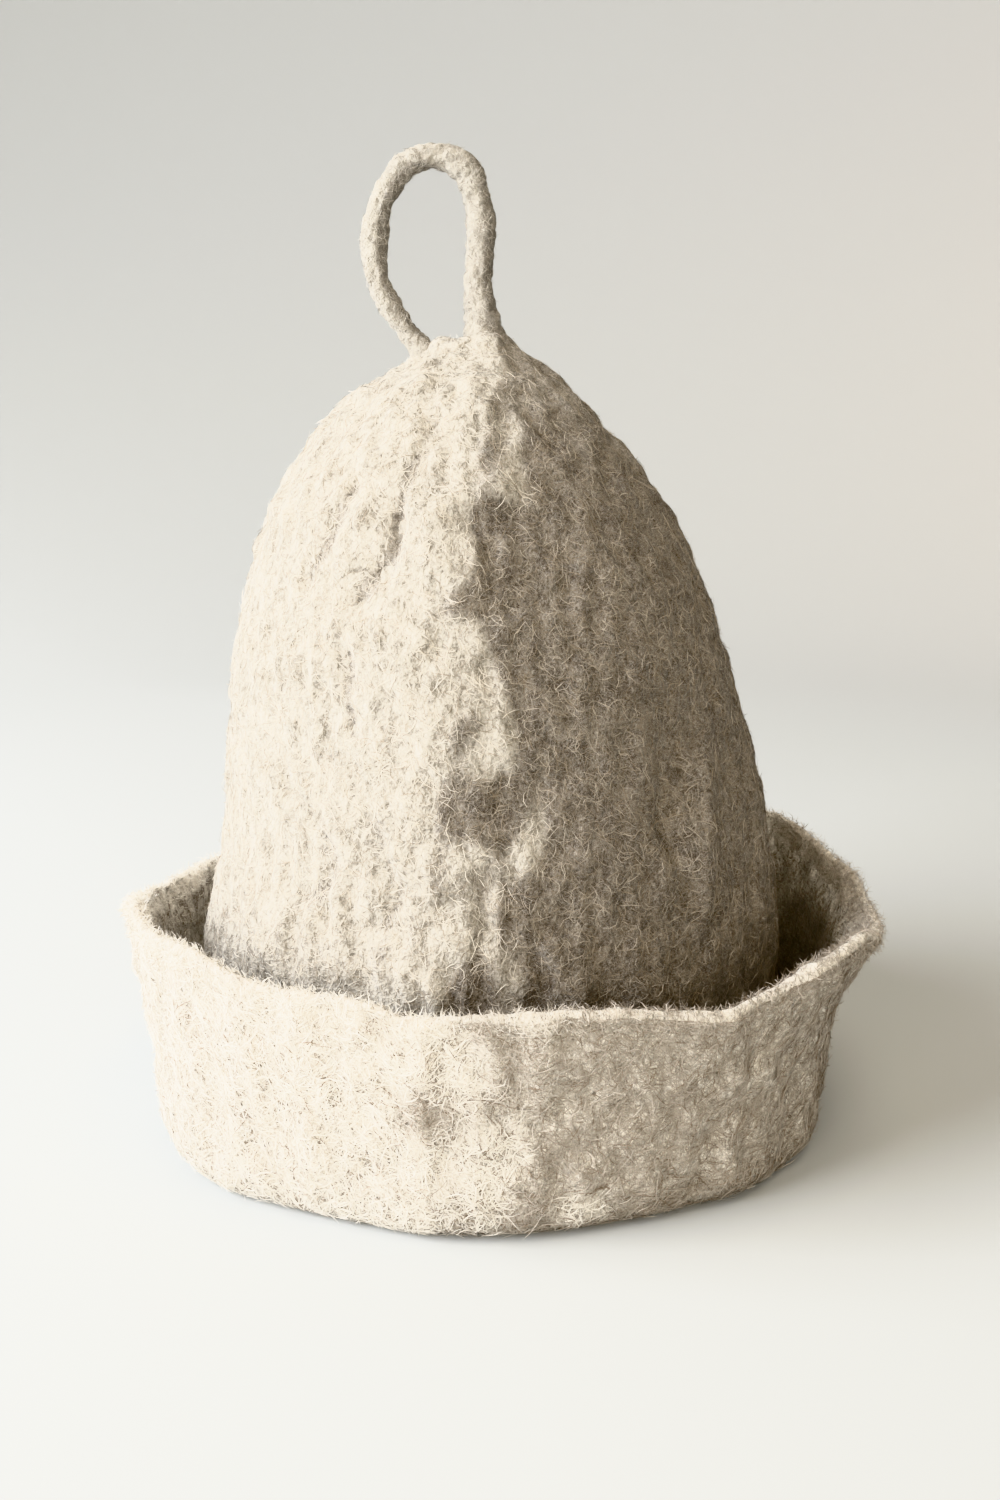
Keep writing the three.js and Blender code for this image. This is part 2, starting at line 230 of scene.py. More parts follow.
CORD_SWELLS = (0.22, 16, 23)

# Fine relief: how far heights are squeezed to draw it out upwards, where the ripples lie, its share on the brim,
# and the heights between which it comes in above the floor
PEBBLES_SQUEEZE = 0.7
RIPPLES_SQUEEZE = 0.16
PLEATS_SQUEEZE = 0.12
RIPPLES_HEIGHT = 68
RIPPLES_REACH = 32
BRIM_PEBBLES_SHARE = 0.85
RELIEF_FROM_FLOOR = (1.0, 10.0)

# Browner wool, partly painted shade on the crown's side away from the window: the bearings over which it comes in and
# goes out, the heights over which it fades upwards, its share left at the top, the painted shade in the creases'
# hollows, and on the loop the painted shade on faces that look right, away from the window: how far they look right,
# less a share of how far they look up
UMBER_AND_SHADE_IN = (-98, -82)
UMBER_AND_SHADE_OUT = (50, 0)
UMBER_AND_SHADE_FADE = (240, 195)
UMBER_AND_SHADE_AT_TOP = 0.6
PAINTED_CREASE_SHADE = 0.5
PAINTED_SHADE_ON_LOOP = (-0.1, 0.6)
PAINTED_SHADE_LESS_UP = 0.4

# Paler wool, 0 on the crown and 1 on the brim, with painted light above that: how pale the rim is, with a painted
# highlight, the lip inside it, with painted light in its shade, and the loop; how much painted light the outer face
# gets in a band under the rim and at the front's right, the side in shade; and where lip, band and front right begin,
# as shares of the way up the brim and as bearings
RIM_PALE_AND_HIGHLIGHT = 1.4
LIP_PALE_AND_PAINTED_LIGHT = 1.25
LOOP_PALE = 0.3
PAINTED_LIGHT_BAND = 0.6
PAINTED_LIGHT_FRONT = 0.47
LIP_FROM = 0.6
BAND_FROM = 0.62
FRONT_IN = (-98, -68)
FRONT_OUT = (10, -30)


# Numbers

# A random field's waves: how many there are, and how far their pitches differ from the one given
WAVES = 36
PITCHES = (0.75, 1.35)


def smooth(low, high, value):
    """0 below low, 1 above high, and 3t^2 - 2t^3 of the way t between them."""
    t = np.clip((value - low) / (high - low), 0, 1)
    return t * t * (3 - 2 * t)


def through(knots, values, at):
    """A cubic through each value at its knot, whose slope there is that of its two neighbours."""
    ends = [(values[1] - values[0]) / (knots[1] - knots[0])]
    tails = [(values[-1] - values[-2]) / (knots[-1] - knots[-2])]
    inner = (values[2:] - values[:-2]) / (knots[2:] - knots[:-2])[:, None]
    slopes = np.concatenate([ends, inner, tails])
    i = np.clip(np.searchsorted(knots, at) - 1, 0, len(knots) - 2)
    step = (knots[i + 1] - knots[i])[..., None]
    t = (np.asarray(at) - knots[i])[..., None] / step
    rest = 1 - t
    line = values[i] * (1 + 2 * t) * rest**2 + values[i + 1] * (3 - 2 * t) * t**2
    return line + step * (slopes[i] * t * rest**2 - slopes[i + 1] * t**2 * rest)


def around(table, bearing):
    """A table of bearings and values read as a closed curve: the table is laid three turns long."""
    turns = np.concatenate([table[:, 0] + turn for turn in (-FULL_TURN, 0, FULL_TURN)])
    return through(turns, np.tile(table[:, 1:], (3, 1)), bearing)


def turned_from(bearing, other):
    """Degrees from the other bearing to this one, by the shorter way round."""
    return (bearing - other + HALF_TURN) % FULL_TURN - HALF_TURN


def unit(vectors):
    """Vectors divided by their lengths."""
    return vectors / np.maximum(np.linalg.norm(vectors, axis=-1, keepdims=True), 1e-9)


def grain(points, wavelength, seed):
    """A smooth random field with mean 0 and spread 1: cosine waves of about one wavelength that run in
    random directions with random phases, summed and divided by the root of half their number."""
    draw = np.random.default_rng(seed)
    way = draw.normal(size=(3, WAVES))
    way /= np.linalg.norm(way, axis=0)
    pitch = 2 * np.pi / (wavelength * draw.uniform(*PITCHES, WAVES))
    phase = draw.uniform(0, 2 * np.pi, WAVES)
    return np.cos(points @ (way * pitch) + phase).sum(-1) / math.sqrt(WAVES / 2)


def swells(points, size, wavelength, seed):
    """Soft hills and hollows: a random field of a size."""
    return size * grain(points, wavelength, seed)


def lumps(points, size, wavelength, seed):
    """Lumps rounded on top with sharp valleys: a random field without its sign, less its mean of 0.8."""
    return size * (np.abs(grain(points, wavelength, seed)) - 0.8)


def squeezed(points, share):
    """Points with their heights squeezed, so that a field read at them is drawn out upwards."""
    return points * (1, 1, share)


# The felt's form

def oval(bearing, width, depth):
    """Points of an oval of this width and depth over the felt, taken in to the felt's middle."""
    angle = np.radians(bearing)
    return np.stack([np.cos(angle) * (width - WALL) / 2, np.sin(angle) * (depth - WALL) / 2], -1)


def felt_middle(bearing, crown_at, bend_at, brim_at):
    """The felt's middle over bearing and way: each crown section is an oval of its width, leant sideways, at its
    height; a quarter turn goes out from the foot, a level band follows, a quarter turn goes up, and the brim
    runs from base to rim with its reach going as the way's flare-th power. The way is given as shares of
    the crown, of each quarter turn and of the brim. Returns (rows, bearings, 3)."""
    floor = WALL / 2
    brim = around(BRIM_SECTIONS, bearing)
    foot_row = len(CROWN_SECTIONS) - 1.0
    rows = through(np.arange(foot_row + 1), CROWN_SECTIONS, crown_at * foot_row)
    half = oval(bearing, CROWN_WIDTH, CROWN_DEPTH)
    lean = np.array([(CROWN_WIDTH - WALL) / 2, 0])
    foot = half * CROWN_SECTIONS[-1, 1] + lean * CROWN_SECTIONS[-1, 2]
    base = oval(bearing, BASE_WIDTH, BASE_DEPTH) * brim[:, 1:2]
    rim = oval(bearing, RIM_WIDTH, RIM_DEPTH) * brim[:, 2:3]
    gap = np.linalg.norm(base - foot, axis=1)
    outward = (base - foot) / gap[:, None]
    inner = np.minimum(INNER_BEND, gap * BEND_SHARE)
    outer = np.minimum(OUTER_BEND, gap * BEND_SHARE)
    fold = floor + inner
    top = CROWN_HEIGHT - WALL / 2

    crown_plan = half * rows[:, None, 1:2] + lean * rows[:, None, 2:3]
    crown_height = fold + rows[:, :1] * (top - fold)
    turn = bend_at[:, None] * math.pi / 2
    out_plan = foot + outward * (inner * (1 - np.cos(turn)))[..., None]
    out_height = fold - inner * np.sin(turn)
    up_plan = foot + outward * (gap - outer * (1 - np.sin(turn)))[..., None]
    up_height = floor + outer * (1 - np.cos(turn))
    way = brim_at[:, None]
    brim_plan = base + (rim - base) * (way ** brim[:, 3])[..., None]
    low = floor + outer
    brim_height = low + (BRIM_HEIGHT * brim[:, 0] - low) * way
    plan = np.concatenate([crown_plan, out_plan[1:], up_plan, brim_plan[1:]])
    height = np.concatenate([crown_height, out_height[1:], up_height, brim_height[1:]])
    return np.concatenate([plan, height[..., None]], -1)


def face_ways(points):
    """Unit normals of a closed grid, on the crown's outer side: the way down crossed with the way round.
    At the apex they point up."""
    down = np.gradient(points, axis=0)
    along = np.roll(points, -1, 1) - np.roll(points, 1, 1)
    ways = unit(np.cross(down, along))
    ways[0] = (0, 0, 1)
    return ways


def wandered(points, bearing):
    """Bearings and heights pushed about by slow waves, so that no fold or crease runs straight."""
    return bearing + swells(points, *BEARINGS_WANDER), points[..., 2] + swells(points, *HEIGHTS_WANDER)


def folds_rise(points, bearing):
    """How far the soft folds push the crown out: for each, its rise times the bell exp(-(u^2 + v^2)),
    where u and v are the way along it over its length and the way beside it over its breadth."""
    half = CROWN_WIDTH / 2
    reach = np.hypot(points[..., 0], points[..., 1])
    bearing, level = wandered(points, bearing)
    total = np.zeros(reach.shape)
    for at, height, slant, length, breadth, rise in FOLDS:
        across = np.radians(turned_from(bearing, at)) * reach
        above = level - height * CROWN_HEIGHT
        angle = math.radians(slant)
        along = above * math.cos(angle) + across * math.sin(angle)
        beside = across * math.cos(angle) - above * math.sin(angle)
        total += rise * half * np.exp(-((along / (length * CROWN_HEIGHT)) ** 2 + (beside / (breadth * half)) ** 2))
    low = WALL + INNER_BEND
    return total * smooth(low, low + FOLDS_FADE, points[..., 2])


def creases_rise(points, bearing):
    """How far the fine creases push the crown out: for each, its rise times exp(-(d / breadth)^2),
    where d is the distance to its nearest stretch, on a chart of arc length and height."""
    reach = np.hypot(points[..., 0], points[..., 1])
    bearing, height = wandered(points, bearing)
    total = np.zeros(reach.shape)
    for breadth, rise, places in CREASES:
        nearest = np.full(reach.shape, np.inf)
        for (a, low), (b, high) in zip(places[:-1], places[1:]):
            across = np.radians(turned_from(bearing, a)) * reach
            above = height - low
            run = np.radians(b - a) * reach
            climb = high - low
            share = np.clip((across * run + above * climb) / (run**2 + climb**2), 0, 1)
            nearest = np.minimum(nearest, np.hypot(across - share * run, above - share * climb))
        total += rise * np.exp(-((nearest / breadth) ** 2))
    return total


def ripples_rise(points):
    """Upright ripples at the crown's foot, strongest at one height, times exp(-(h / reach)^2) of the way h
    above or below it."""
    waves = swells(squeezed(points, RIPPLES_SQUEEZE), *FOOT_RIPPLES)
    return waves * np.exp(-(((points[..., 2] - RIPPLES_HEIGHT) / RIPPLES_REACH) ** 2))


def pleats_rise(points):
    """Upright pleats in the brim, wide and soft."""
    return swells(squeezed(points, PLEATS_SQUEEZE), *BRIM_PLEATS)


def pebbles_rise(points):
    """Fulled lumps, a little drawn out upwards, with small soft ones on them, over slow swells."""
    upright = squeezed(points, PEBBLES_SQUEEZE)
    return lumps(upright, *LARGE_PEBBLES) + swells(upright, *SMALL_PEBBLES) + swells(points, *SLOW_SWELLS)


def umber_and_painted_shade(points):
    """Share of browner wool, partly painted shade: on the crown from a little left of the front round to the right,
    the side away from the window, less towards its top and with ragged edges."""
    bearing = np.degrees(np.arctan2(points[..., 1], points[..., 0])) + swells(points, *UMBER_AND_SHADE_SIDES_WANDER)
    face = smooth(*UMBER_AND_SHADE_IN, bearing) * smooth(*UMBER_AND_SHADE_OUT, bearing)
    height = points[..., 2] + swells(points, *UMBER_AND_SHADE_TOP_WANDER)
    return face * (UMBER_AND_SHADE_AT_TOP + (1 - UMBER_AND_SHADE_AT_TOP) * smooth(*UMBER_AND_SHADE_FADE, height))


# Meshes

def make_piece(name, points, fours, threes, values=None):
    """A mesh object of points in millimetres of the part's frame, with four-cornered and three-cornered faces
    and named values at its points."""
    mesh = bpy.data.meshes.new(name)
    corners = np.concatenate([fours.ravel(), threes.ravel()])
    starts = np.concatenate([np.arange(len(fours)) * 4, len(fours) * 4 + np.arange(len(threes)) * 3])
    mesh.vertices.add(len(points))
    mesh.loops.add(len(corners))
    mesh.polygons.add(len(starts))
    mesh.vertices.foreach_set("co", (points * MILLIMETRE).astype(np.float32).ravel())
    mesh.loops.foreach_set("vertex_index", corners.astype(np.int32))
    mesh.polygons.foreach_set("loop_start", starts.astype(np.int32))
    mesh.polygons.foreach_set("use_smooth", np.ones(len(starts), bool))
    for key, column in (values or {}).items():
        mesh.attributes.new(key, "FLOAT", "POINT").data.foreach_set("value", column.astype(np.float32).ravel())
    mesh.update(calc_edges=True)
    mesh.validate()
    piece = bpy.data.objects.new(name, mesh)
    bpy.context.scene.collection.objects.link(piece)
    return piece


def steps(count):
    """Even shares from 0 to 1."""
    return np.linspace(0, 1, count + 1)


def grid_faces(rows, columns):
    """Four-cornered faces of a closed grid whose rows are rings, seen from the side where the first row is up."""
    i, j = np.meshgrid(np.arange(rows - 1), np.arange(columns), indexing="ij")
    right = (j + 1) % columns
    faces = np.stack([i * columns + j, (i + 1) * columns + j, (i + 1) * columns + right, i * columns + right], -1)
    return faces.reshape(-1, 4)


def fan(ring, centre, inward):
    """Three-cornered faces from a ring to one point."""
    onward = np.roll(ring, -1)
    middle = np.full(len(ring), centre)
    return np.stack([ring, onward, middle] if inward else [middle, ring, onward], -1)


def joining_faces(fine, coarse):
    """Three-cornered faces from a fine ring down to one with fewer corners: the first half of the fine edges
    beside each coarse edge go to its one end, the others to its other end, and one face stands on the edge."""
    every = len(fine) // len(coarse)
    half = every // 2
    onward = np.roll(coarse, -1)
    corner = [np.roll(fine, -k)[::every] for k in range(every + 1)]
    faces = [np.stack([corner[k], coarse if k < half else onward, corner[k + 1]], -1) for k in range(every)]
    faces.append(np.stack([corner[half], coarse, onward], -1))
    return np.concatenate(faces)


# Felt of crown and brim: its fineness on the crown's outer side, the turns, the brim and inside the head's hollow
COLUMNS = 360
HOLLOW_COLUMNS = 90
CROWN_ROWS = 150
BEND_ROWS = 5
TROUGH_ROWS = 20
BRIM_ROWS = 37
HOLLOW_ROWS = 30
RIM_ROWS = 5

bearings = (np.arange(COLUMNS) / COLUMNS - 0.5) * FULL_TURN


def rim_wave():
    """The uneven edge of the felt: random waves of two lengths round it, about a millimetre high."""
    ring = np.concatenate([oval(bearings, RIM_WIDTH, RIM_DEPTH), np.zeros((COLUMNS, 1))], -1)
    return swells(ring, *LONG_RIM_WAVES) + swells(ring, *SHORT_RIM_WAVES)


def felt_side(crown_rows, brim_rows):
    """The felt's middle at one fineness, with the rim's wave, which goes as the square of the way up the brim,
    and with the crown's soft folds. Returns it with its ways out and its rows' shares of the way up the brim."""
    crown_at, bend_at, brim_at = steps(crown_rows), steps(BEND_ROWS), steps(brim_rows)
    plain = felt_middle(bearings, crown_at, bend_at, brim_at)
    on_brim = np.zeros(len(plain))
    on_brim[-brim_rows:] = brim_at[1:]
    plain[..., 2] += rim_wave() * on_brim[:, None] ** 2
    crown = slice(1, crown_rows + 1)
    rise = np.zeros(plain.shape[:2])
    rise[crown] = folds_rise(plain[crown], bearings)
    middle = plain + face_ways(plain) * rise[..., None]
    return middle, face_ways(middle), on_brim


def roughened(middle, ways, on_brim, side, crown_rows):
    """The felt's surface on one side: half the wall off the middle, with the fine relief that fades at the floor
    and the bead of the rim. Side 1 has the crown's creases and ripples, and side -1 the brim's pleats."""
    surface = middle + ways * (side * WALL / 2)
    crown, beyond = slice(1, crown_rows + 1), slice(crown_rows + 1, None)
    rise = pebbles_rise(surface)
    rise[beyond] *= BRIM_PEBBLES_SHARE
    rise += RIM_BEAD * smooth(BEAD_FROM, 1.0, on_brim)[:, None]
    if side > 0:
        rise[crown] += creases_rise(surface[crown], bearings) + ripples_rise(surface[crown])
    else:
        rise[beyond] += pleats_rise(surface[beyond])
    fade = smooth(*RELIEF_FROM_FLOOR, surface[..., 2])
    surface = surface + ways * (side * rise * fade)[..., None]
    surface[0] = surface[0].mean(0)
    return surface


outer_middle, outer_ways, outer_on_brim = felt_side(CROWN_ROWS, TROUGH_ROWS)
outer_felt = roughened(outer_middle, outer_ways, outer_on_brim, 1, CROWN_ROWS)
inner_middle, inner_ways, inner_on_brim = felt_side(HOLLOW_ROWS, BRIM_ROWS)
inner_felt = roughened(inner_middle, inner_ways, inner_on_brim, -1, HOLLOW_ROWS)


def rim_edge():
    """The round edge of the rim: a half turn of half the wall's radius over the felt's last ring, and its ways out."""
    last = outer_middle[-1]
    onward = unit(last - outer_middle[-2])
    turn = (np.arange(1, RIM_ROWS) / RIM_ROWS * math.pi)[:, None, None]
    ways = outer_ways[-1] * np.cos(turn) + onward * np.sin(turn)
    rings = last + ways * (WALL / 2 + RIM_BEAD)
    return rings + onward * swells(rings, *RIM_ROUGHNESS)[..., None], ways


rim_rings, rim_ways = rim_edge()


def paleness_and_painted_light():
    """Paler wool and painted light on the rows of crown_and_brim: the lip inside the trough, paler near the rim with
    painted light in its shade, the rim, paler with a painted highlight, and the brim's outer face, with painted light
    that grows towards the rim and towards the front's right, the side in shade."""
    up_the_face = inner_on_brim[HOLLOW_ROWS:][::-1]
    # Painted light in a band under the rim
    face = smooth(-0.1, 0.1, up_the_face) + PAINTED_LIGHT_BAND * smooth(BAND_FROM, 1.0, up_the_face)
    # Painted light on the front's right, the side in shade
    front = smooth(*FRONT_IN, bearings) * smooth(*FRONT_OUT, bearings)
    return np.concatenate([
        # Painted light in the lip's shade, over paler wool near the rim
        np.repeat(LIP_PALE_AND_PAINTED_LIGHT * smooth(LIP_FROM, 1.0, outer_on_brim[1:]), COLUMNS),
        # Paler wool with a painted highlight on the rim
        np.full((RIM_ROWS - 1) * COLUMNS, RIM_PALE_AND_HIGHLIGHT),
        (face[:, None] * (1 + PAINTED_LIGHT_FRONT * front)).ravel(),
        np.zeros((HOLLOW_ROWS - 1) * HOLLOW_COLUMNS + 2),
    ])


def crown_and_brim():
    """One closed shell: the outer side from the apex to the rim, over its round edge, down the brim's outer face,
    under the trough and up inside the hollow to its top, where the grid has a quarter of the columns."""
    fine = np.concatenate([outer_felt[1:], rim_rings, inner_felt[HOLLOW_ROWS:][::-1]])
    coarse = inner_felt[1:HOLLOW_ROWS][::-1, ::COLUMNS // HOLLOW_COLUMNS]
    points = np.concatenate([fine.reshape(-1, 3), coarse.reshape(-1, 3), outer_felt[0, :1], inner_felt[0, :1]])
    count = len(fine) * COLUMNS
    fours = np.concatenate([grid_faces(len(fine), COLUMNS), count + grid_faces(len(coarse), HOLLOW_COLUMNS)])
    apex = len(points) - 2
    threes = np.concatenate([
        joining_faces(count - COLUMNS + np.arange(COLUMNS), count + np.arange(HOLLOW_COLUMNS)),
        fan(np.arange(COLUMNS), apex, False),
        fan(apex - HOLLOW_COLUMNS + np.arange(HOLLOW_COLUMNS), apex + 1, True),
    ])
    pale_and_painted_light = paleness_and_painted_light()
    # Painted shade: the browner wool's share also darkens the crown's side away from the window, less where the wool
    # is paler.
    brown_and_painted_shade = umber_and_painted_shade(points) * np.maximum(1 - pale_and_painted_light, 0)
    # Painted shade: the hollows of the fine creases are darkened.
    crease = creases_rise(outer_felt[1:CROWN_ROWS], bearings).ravel()
    brown_and_painted_shade[:len(crease)] += PAINTED_CREASE_SHADE * np.clip(-crease, 0, 1)
    return make_piece("felt_crown_and_brim", points + SHIFT, fours, threes, {"pale_and_painted_light": pale_and_painted_light, "umber_and_painted_shade": brown_and_painted_shade})


# Loop: its fineness along and round, the crown's rows and columns that its roots are laid on,
# how many of their points tell the height at a place, and the least distance that counts
LOOP_STEPS = 300
LOOP_SIDES = 40
SEAT_ROWS = slice(0, 60, 2)
SEAT_COLUMNS = slice(None, None, 4)
SEAT_POINTS = 4
SEAT_DISTANCE = 0.05


def loop_path():
    """Middles, ways on and radii of the cord."""
    rows = steps(LOOP_STEPS) * (len(LOOP_SECTIONS) - 1)
    places = through(np.arange(len(LOOP_SECTIONS)) * 1.0, LOOP_SECTIONS, rows)
    middle = np.stack([
        LOOP_OFFSET + LOOP_WIDTH / 2 * places[:, 0],
        CORD_SWAY * np.sin(rows * CORD_SWAY_PACE),
        CROWN_HEIGHT + LOOP_HEIGHT * places[:, 1],
    ], -1)
    return middle, unit(np.gradient(middle, axis=0)), CORD_WIDTH / 2 * places[:, 2]


def crown_top(points):
    """Height of the felt's middle over each point: of its nearest grid points in plan, weighed by closeness."""
    near = outer_middle[SEAT_ROWS, SEAT_COLUMNS].reshape(-1, 3)
    apart = np.linalg.norm(points[:, None, :2] - near[None, :, :2], axis=-1)
    nearest = np.argsort(apart, axis=1)[:, :SEAT_POINTS]
    weight = 1 / (np.take_along_axis(apart, nearest, 1) + SEAT_DISTANCE)
    return (near[nearest, 2] * weight).sum(1) / weight.sum(1)


def loop_felt():
    """The cord: rings of its radius round its middle, with lumps along it, ending within the crown's wall.
    Returns its grid and its ways out."""
    middle, onward, radius = loop_path()
    front = np.array([0.0, 1.0, 0.0])
    aside = unit(np.cross(onward, front))
    turn = (np.arange(LOOP_SIDES) / LOOP_SIDES * 2 * math.pi)[None, :, None]
    spoke = aside[:, None] * np.cos(turn) + front * np.sin(turn)
    points = middle[:, None] + spoke * radius[:, None, None]
    rise = lumps(points, *LARGE_CORD_LUMPS) + lumps(points, *SMALL_CORD_LUMPS) + swells(points, *CORD_SWELLS)
    flat = (points + spoke * rise[..., None]).reshape(-1, 3)
    low = flat[:, 2] < CROWN_HEIGHT + ROOTS_BELOW
    flat[low, 2] = np.maximum(flat[low, 2], crown_top(flat[low]) - ROOTS_DEPTH)
    points = flat.reshape(points.shape)
    return points, unit(points - middle[:, None])


loop_points, loop_ways = loop_felt()


def hanging_loop():
    """The cord's grid, closed by a point at each end, with painted shade on the faces that look right and down, away
    from the window.
    """
    rows = len(loop_points)
    ends = loop_points[[0, -1]].mean(1)
    points = np.concatenate([loop_points.reshape(-1, 3), ends])
    fours = grid_faces(rows, LOOP_SIDES)
    first = np.arange(LOOP_SIDES)
    last = (rows - 1) * LOOP_SIDES + first
    threes = np.concatenate([fan(first, rows * LOOP_SIDES, False), fan(last, rows * LOOP_SIDES + 1, True)])
    # Painted shade: the cord's faces that look right, away from the window, are browner and darker.
    brown_and_painted_shade = smooth(*PAINTED_SHADE_ON_LOOP, loop_ways[..., 0] - PAINTED_SHADE_LESS_UP * loop_ways[..., 2]).ravel()
    values = {"pale_and_painted_light": np.full(len(points), LOOP_PALE), "umber_and_painted_shade": np.append(brown_and_painted_shade, [0, 0])}
    return make_piece("felt_loop", points + SHIFT, fours, threes, values)


# Wool hairs: the lengths that each is made of, how widely their directions differ, how much they turn at each length
# and roll round their run, the power with which they lift, and their width along them as shares of the widest
HAIR_STEPS = 3
HAIR_SPREAD = 2.0
HAIR_CURL = 0.55
HAIR_ROLL = 0.5
HAIR_LIFT = 1.6
HAIR_TAPER = np.array([0.7, 1.0, 0.8])

# Least height of a hair over the floor, least depth that one starts at in the nap, and least size of a grid's cell
HAIR_CLEARANCE = 0.2
LEAST_START = 0.04
LEAST_CELL = 0.4

# Shades of the light and the dark hairs, and how much browner wool and the crown's painted shade darken them
LIGHT_SHADES = (0.6, 1.0)
DARK_SHADES = (0.0, 0.35)
UMBER_AND_SHADE_ON_HAIRS = 0.7


def on_grid(grid, row, column):
    """Points of a closed grid between its corners: the four corners weighed by closeness."""
    row = np.clip(row, 0, len(grid) - 1.001)
    i = row.astype(int)
    j = np.floor(column).astype(int)
    a, b = (row - i)[..., None], (column - j)[..., None]
    j, onward = j % grid.shape[1], (j + 1) % grid.shape[1]
    return ((grid[i, j] * (1 - b) + grid[i, onward] * b) * (1 - a)
            + (grid[i + 1, j] * (1 - b) + grid[i + 1, onward] * b) * a)


def hair_lines(draw, grid, ways, rows, count, length, lift, depth, few):
    """Lines over a grid, and the grid's ways out along them. They start at random places, spread evenly over its
    area, and each runs on in its own direction, which turns steadily, and lifts off as the way's power."""
    down = np.gradient(grid, axis=0)
    along = (np.roll(grid, -1, 1) - np.roll(grid, 1, 1)) / 2
    area = np.linalg.norm(np.cross(down, along), axis=-1)[rows[0]:rows[1]]
    cell = np.searchsorted(np.cumsum(area.ravel()) / area.sum(), draw.random(count))
    row = rows[0] + cell // grid.shape[1] + draw.random(count)
    column = cell % grid.shape[1] + draw.random(count)
    reach = draw.uniform(*length, count) / HAIR_STEPS
    angle = draw.normal(0, HAIR_SPREAD, count)
    curl = draw.normal(0, HAIR_CURL, count)
    rise = lift[0] + (lift[1] - lift[0]) * draw.random(count) ** few
    start = draw.uniform(LEAST_START, depth, count)
    row_size = np.maximum(np.linalg.norm(on_grid(down, row, column), axis=-1), LEAST_CELL)
    column_size = np.maximum(np.linalg.norm(on_grid(along, row, column), axis=-1), LEAST_CELL)
    line, normal = [], []
    for share in steps(HAIR_STEPS):
        face = unit(on_grid(ways, row, column))
        line.append(on_grid(grid, row, column) + face * (start + rise * share**HAIR_LIFT)[:, None])
        normal.append(face)
        row = row + np.cos(angle) * reach / row_size
        column = column + np.sin(angle) * reach / column_size
        angle = angle + curl
    return np.stack(line, 1), np.stack(normal, 1)


def hairs(name, grid, ways, rows, count, seed, length, width, lift, light, depth=0.1, few=5):
    """Wool hairs on a grid's rows: flat ribbons along lines, rolled by chance round their run and ending in a point.
    length, width and lift are (least, most), with few hairs near the most lift as the power is greater;
    depth is how high in the nap they start, and light the share of light hairs."""
    draw = np.random.default_rng(seed)
    line, normal = hair_lines(draw, grid, ways, rows, count, length, lift, depth, few)
    run = unit(np.gradient(line, axis=1))
    roll = draw.normal(0, HAIR_ROLL, count)[:, None, None]
    side = unit(np.cross(run, normal)) * np.cos(roll) + normal * np.sin(roll)
    half = (draw.uniform(*width, count) / 2)[:, None, None] * HAIR_TAPER[:, None]
    body, aside = line[:, :-1], side[:, :-1] * half
    points = np.concatenate([body - aside, body + aside, line[:, -1:]], 1)
    points[..., 2] = np.maximum(points[..., 2], HAIR_CLEARANCE)

    corners = 2 * HAIR_STEPS + 1
    first = np.arange(count)[:, None] * corners
    k = np.arange(HAIR_STEPS - 1)
    ladder = np.stack([k, k + HAIR_STEPS, k + HAIR_STEPS + 1, k + 1], -1)
    fours = (first[:, None] + ladder).reshape(-1, 4)
    threes = first + np.array([[HAIR_STEPS - 1, 2 * HAIR_STEPS - 1, 2 * HAIR_STEPS]])
    is_light = draw.random(count) < light
    tone = np.where(is_light, draw.uniform(*LIGHT_SHADES, count), draw.uniform(*DARK_SHADES, count))
    # Hairs darker on the browner wool and the painted shade of the crown's side away from the window.
    tone = np.repeat(tone * (1 - UMBER_AND_SHADE_ON_HAIRS * umber_and_painted_shade(line[:, 0])), corners)
    return make_piece(name, points.reshape(-1, 3) + SHIFT, fours, threes, {"tone": tone})


# Finishes

class Signal:
    """One socket of a material's nodes. Arithmetic on it adds the Math nodes."""

    def __init__(self, tree, socket):
        self.tree = tree
        self.socket = socket

    def maths(self, operation, *values):
        return add_node(self.tree, "ShaderNodeMath", {"operation": operation}, dict(enumerate(values)))

    def __add__(self, other):
        return self.maths("ADD", self, other)

    def __sub__(self, other):
        return self.maths("SUBTRACT", self, other)

    def __rsub__(self, other):
        return self.maths("SUBTRACT", other, self)

    def __mul__(self, other):
        return self.maths("MULTIPLY", self, other)

    def __abs__(self):
        return self.maths("ABSOLUTE", self)

    __radd__ = __add__
    __rmul__ = __mul__

    def between(self, low, high):
        """0 at low, 1 at high, smooth between them, and clamped outside."""
        settings = {"interpolation_type": "SMOOTHSTEP"}
        sockets = {"Value": self, "From Min": low, "From Max": high}
        return add_node(self.tree, "ShaderNodeMapRange", settings, sockets)


def add_node(tree, kind, settings=None, sockets=None, out=0):
    """Adds one node: its settings first, then the values or links of its sockets. Returns one of its outputs."""
    node = tree.nodes.new(kind)
    for key, value in (settings or {}).items():
        setattr(node, key, value)
    for key, value in (sockets or {}).items():
        if isinstance(value, Signal):
            tree.links.new(value.socket, node.inputs[key])
        else:
            node.inputs[key].default_value = value
    return Signal(tree, node.outputs[out])


